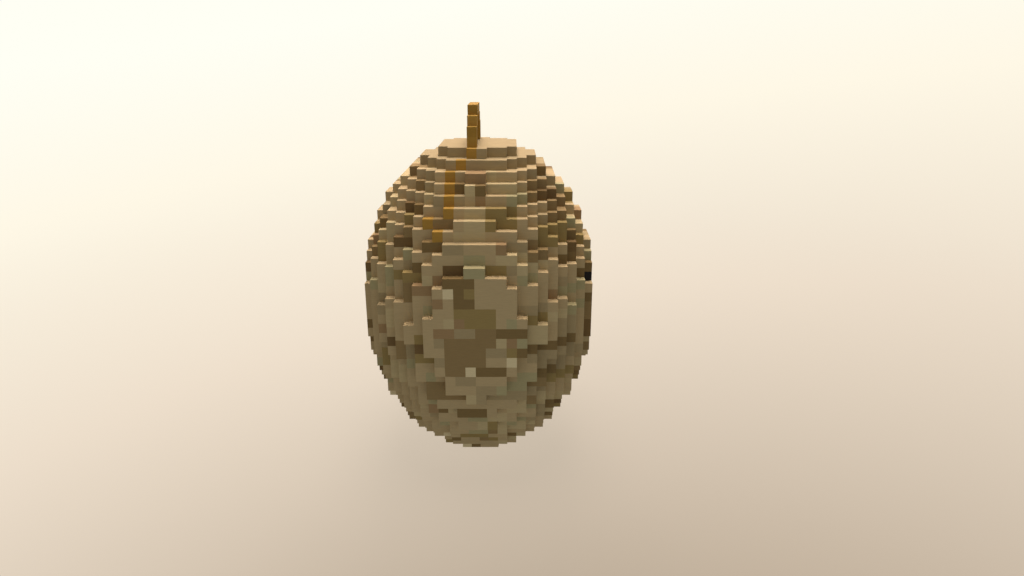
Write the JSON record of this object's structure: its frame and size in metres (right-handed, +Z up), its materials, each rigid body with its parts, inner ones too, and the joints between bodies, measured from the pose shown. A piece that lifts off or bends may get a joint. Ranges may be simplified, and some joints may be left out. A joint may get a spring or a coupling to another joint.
{
  "type": "wasp nest",
  "caption": "Egg-shaped paper wasp nest laid up in square blocks, standing on its flat underside, with a short hanging loop on top.",
  "frame": {"origin": "centre of the flat underside that the nest stands on", "axes": "+Z up through the egg's middle to the loop, -Y towards the front, +X to the right seen from the front"},
  "size_m": [0.24, 0.27, 0.3803],
  "materials": {
    "wasp_paper": "matte",
    "ochre_paper": "matte"
  },
  "bodies": {
    "root": {"nest": "wasp_paper", "hanging_loop": "ochre_paper"}
  },
  "joints": []
}
